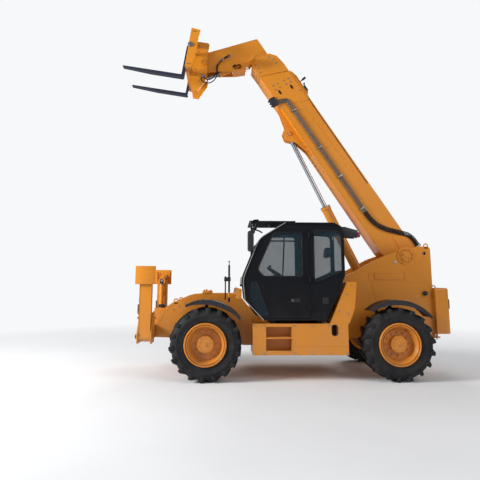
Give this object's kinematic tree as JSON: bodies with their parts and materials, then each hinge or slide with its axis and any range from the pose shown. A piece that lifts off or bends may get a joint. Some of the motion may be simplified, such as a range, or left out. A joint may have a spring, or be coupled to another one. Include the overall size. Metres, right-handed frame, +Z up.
{
  "type": "telescopic handler",
  "caption": "Telescopic handler with a three-section boom, pallet forks, an enclosed side cab and two fold-up front stabiliser legs.",
  "frame": {"origin": "on the ground under the middle of the whole machine box", "axes": "+Z up, -X the way the machine drives forward, -Y its left side with the cab"},
  "size_m": [6.01, 2.37, 6.4751],
  "materials": {
    "paint": "gloss orange-yellow machine paint",
    "cab_black": "satin black paint",
    "fork_black": "semi-gloss dark paint over forged steel",
    "glass": "tinted safety glass",
    "tyre": "matt moulded rubber",
    "rubber": "matt rubber",
    "plastic": "moulded black plastic",
    "chrome": "hard chrome plate",
    "steel": "plated steel",
    "cast": "painted casting",
    "seat": "woven seat cover"
  },
  "bodies": {
    "chassis": {"chassis_frame": "paint", "chassis_pins": "steel", "counterweight": "paint", "nose_beam": "paint", "step_box": "paint", "engine_hood": "paint", "engine_block": "cast", "exhaust": "steel", "cab_shell": "cab_black", "cab_glass": "glass", "cab_mounts": "rubber", "seat": "seat", "dashboard": "plastic", "roof_guard": "cab_black", "mirror": "plastic", "lamps": "paint", "front_axle": "cast", "rear_axle": "cast"},
    "door": {"cab_door": "cab_black", "cab_door_glass": "glass"},
    "boom": {"boom_base": "paint", "boom_pipes": "steel", "boom_hoses": "rubber"},
    "boom_middle_section": {"boom_middle": "paint"},
    "boom_inner_section": {"boom_inner": "paint", "neck_hoses": "rubber"},
    "carriage_body": {"hitch": "paint", "carriage": "paint", "fork_shaft": "steel", "coupler_hoses": "rubber"},
    "fork_left_body": {"fork_left": "fork_black"},
    "leg_left_body": {"leg_left": "paint"},
    "pad_left_body": {"pad_left": "paint"},
    "leg_barrel_left_body": {"leg_barrel_left": "paint"},
    "leg_rod_left_body": {"leg_rod_left": "chrome"},
    "fork_right_body": {"fork_right": "fork_black"},
    "leg_right_body": {"leg_right": "paint"},
    "pad_right_body": {"pad_right": "paint"},
    "leg_barrel_right_body": {"leg_barrel_right": "paint"},
    "leg_rod_right_body": {"leg_rod_right": "chrome"},
    "lift_barrel_body": {"lift_barrel": "paint"},
    "lift_rod_body": {"lift_rod": "chrome"},
    "tilt_barrel_body": {"tilt_barrel": "paint"},
    "tilt_rod_body": {"tilt_rod": "chrome"},
    "wheel_front_left": {"tyre_front_left": "tyre", "rim_front_left": "paint"},
    "steering_front_left": {"knuckle_front_left": "cast", "fender_front_left": "plastic"},
    "wheel_front_right": {"tyre_front_right": "tyre", "rim_front_right": "paint"},
    "steering_front_right": {"knuckle_front_right": "cast", "fender_front_right": "plastic"},
    "wheel_rear_left": {"tyre_rear_left": "tyre", "rim_rear_left": "paint"},
    "steering_rear_left": {"knuckle_rear_left": "cast", "fender_rear_left": "plastic"},
    "wheel_rear_right": {"tyre_rear_right": "tyre", "rim_rear_right": "paint"},
    "steering_rear_right": {"knuckle_rear_right": "cast", "fender_rear_right": "plastic"}
  },
  "joints": [
    {"name": "boom_lift", "type": "hinge", "parent": "chassis", "child": "boom", "pos_m": [2.27495, 0, 2.07], "axis": [0, 1, 0], "range_deg": [-60.95, 9.05]},
    {"name": "boom_extend", "type": "slide", "parent": "boom", "child": "boom_middle_section", "axis": [-0.5454, 0, 0.8382], "range_m": [0, 3.2]},
    {"name": "boom_extend_inner", "type": "slide", "parent": "boom_middle_section", "child": "boom_inner_section", "axis": [-0.5454, 0, 0.8382], "range_m": [0, 3.2]},
    {"name": "carriage_tilt", "type": "hinge", "parent": "boom_inner_section", "child": "carriage_body", "pos_m": [-1.46522, 0, 5.92975], "axis": [0, 1, 0], "range_deg": [-40, 55]},
    {"name": "fork_left_float", "type": "hinge", "parent": "carriage_body", "child": "fork_left_body", "pos_m": [-1.71085, 0, 6.08577], "axis": [0, -1, 0], "range_deg": [-20, 0]},
    {"name": "fork_right_float", "type": "hinge", "parent": "carriage_body", "child": "fork_right_body", "pos_m": [-1.71085, 0, 6.08577], "axis": [0, -1, 0], "range_deg": [-20, 0]},
    {"name": "lift_barrel_swing", "type": "hinge", "parent": "chassis", "child": "lift_barrel_body", "pos_m": [1.73896, 0, 1.342], "axis": [0, 1, 0], "range_deg": [-61.45, 9.55]},
    {"name": "lift_rod_slide", "type": "slide", "parent": "lift_barrel_body", "child": "lift_rod_body", "axis": [-0.4317, 0, 0.902], "range_m": [-0.9334, 0.1471]},
    {"name": "tilt_barrel_swing", "type": "hinge", "parent": "boom_inner_section", "child": "tilt_barrel_body", "pos_m": [-0.66306, 0, 5.98042], "axis": [0, 1, 0], "range_deg": [-5.55, 7.45]},
    {"name": "tilt_rod_slide", "type": "slide", "parent": "tilt_barrel_body", "child": "tilt_rod_body", "axis": [-0.9279, 0, -0.3728], "range_m": [-0.1604, 0.2169]},
    {"name": "leg_left_fold", "type": "hinge", "parent": "chassis", "child": "leg_left_body", "pos_m": [-2.33005, -0.985, 0.705], "axis": [1, 0, 0], "range_deg": [0, 125]},
    {"name": "pad_left_swivel", "type": "hinge", "parent": "leg_left_body", "child": "pad_left_body", "pos_m": [-2.33005, -0.985, 1.705], "axis": [1, 0, 0], "range_deg": [-35.5, 0.5]},
    {"name": "leg_barrel_left_swing", "type": "hinge", "parent": "chassis", "child": "leg_barrel_left_body", "pos_m": [-2.33005, -0.825, 0.995], "axis": [1, 0, 0], "range_deg": [-0.5, 123.9]},
    {"name": "leg_rod_left_slide", "type": "slide", "parent": "leg_barrel_left_body", "child": "leg_rod_left_body", "axis": [0, -0.0344, 0.9994], "range_m": [-0.005, 0.5971]},
    {"name": "leg_right_fold", "type": "hinge", "parent": "chassis", "child": "leg_right_body", "pos_m": [-2.33005, 0.985, 0.705], "axis": [-1, 0, 0], "range_deg": [0, 125]},
    {"name": "pad_right_swivel", "type": "hinge", "parent": "leg_right_body", "child": "pad_right_body", "pos_m": [-2.33005, 0.985, 1.705], "axis": [-1, 0, 0], "range_deg": [-35.5, 0.5]},
    {"name": "leg_barrel_right_swing", "type": "hinge", "parent": "chassis", "child": "leg_barrel_right_body", "pos_m": [-2.33005, 0.825, 0.995], "axis": [-1, 0, 0], "range_deg": [-0.5, 123.9]},
    {"name": "leg_rod_right_slide", "type": "slide", "parent": "leg_barrel_right_body", "child": "leg_rod_right_body", "axis": [0, 0.0344, 0.9994], "range_m": [-0.005, 0.5971]},
    {"name": "cab_door_hinge", "type": "hinge", "parent": "chassis", "child": "door", "pos_m": [0.39702, -1.136, 1.78], "axis": [0, 0, 1], "range_deg": [0, 88]},
    {"name": "steer_front_left", "type": "hinge", "parent": "chassis", "child": "steering_front_left", "pos_m": [-1.32505, -0.83, 0.59], "axis": [0, 0, 1], "range_deg": [-30, 30]},
    {"name": "wheel_front_left_spin", "type": "hinge", "parent": "steering_front_left", "child": "wheel_front_left", "pos_m": [-1.32505, -0.975, 0.59], "axis": [0, 1, 0], "continuous": true},
    {"name": "steer_front_right", "type": "hinge", "parent": "chassis", "child": "steering_front_right", "pos_m": [-1.32505, 0.83, 0.59], "axis": [0, 0, 1], "range_deg": [-30, 30]},
    {"name": "wheel_front_right_spin", "type": "hinge", "parent": "steering_front_right", "child": "wheel_front_right", "pos_m": [-1.32505, 0.975, 0.59], "axis": [0, 1, 0], "continuous": true},
    {"name": "steer_rear_left", "type": "hinge", "parent": "chassis", "child": "steering_rear_left", "pos_m": [1.83895, -0.83, 0.59], "axis": [0, 0, 1], "range_deg": [-30, 30]},
    {"name": "wheel_rear_left_spin", "type": "hinge", "parent": "steering_rear_left", "child": "wheel_rear_left", "pos_m": [1.83895, -0.975, 0.59], "axis": [0, 1, 0], "continuous": true},
    {"name": "steer_rear_right", "type": "hinge", "parent": "chassis", "child": "steering_rear_right", "pos_m": [1.83895, 0.83, 0.59], "axis": [0, 0, 1], "range_deg": [-30, 30]},
    {"name": "wheel_rear_right_spin", "type": "hinge", "parent": "steering_rear_right", "child": "wheel_rear_right", "pos_m": [1.83895, 0.975, 0.59], "axis": [0, 1, 0], "continuous": true}
  ],
  "couplings": [
    {"joint": "boom_extend_inner", "follows": "boom_extend", "ratio": 1},
    {"joint": "lift_barrel_swing", "follows": "boom_lift", "ratio": 1},
    {"joint": "lift_rod_slide", "follows": "boom_lift", "m_per_rad": 0.868},
    {"joint": "tilt_barrel_swing", "follows": "carriage_tilt", "ratio": 0.1263},
    {"joint": "tilt_rod_slide", "follows": "carriage_tilt", "m_per_rad": 0.2155},
    {"joint": "pad_left_swivel", "follows": "leg_left_fold", "ratio": -0.28},
    {"joint": "leg_barrel_left_swing", "follows": "leg_left_fold", "ratio": 0.9872},
    {"joint": "leg_rod_left_slide", "follows": "leg_left_fold", "m_per_rad": 0.2691},
    {"joint": "pad_right_swivel", "follows": "leg_right_fold", "ratio": -0.28},
    {"joint": "leg_barrel_right_swing", "follows": "leg_right_fold", "ratio": 0.9872},
    {"joint": "leg_rod_right_slide", "follows": "leg_right_fold", "m_per_rad": 0.2691},
    {"joint": "steer_front_right", "follows": "steer_front_left", "ratio": 1},
    {"joint": "steer_rear_right", "follows": "steer_rear_left", "ratio": 1}
  ]
}
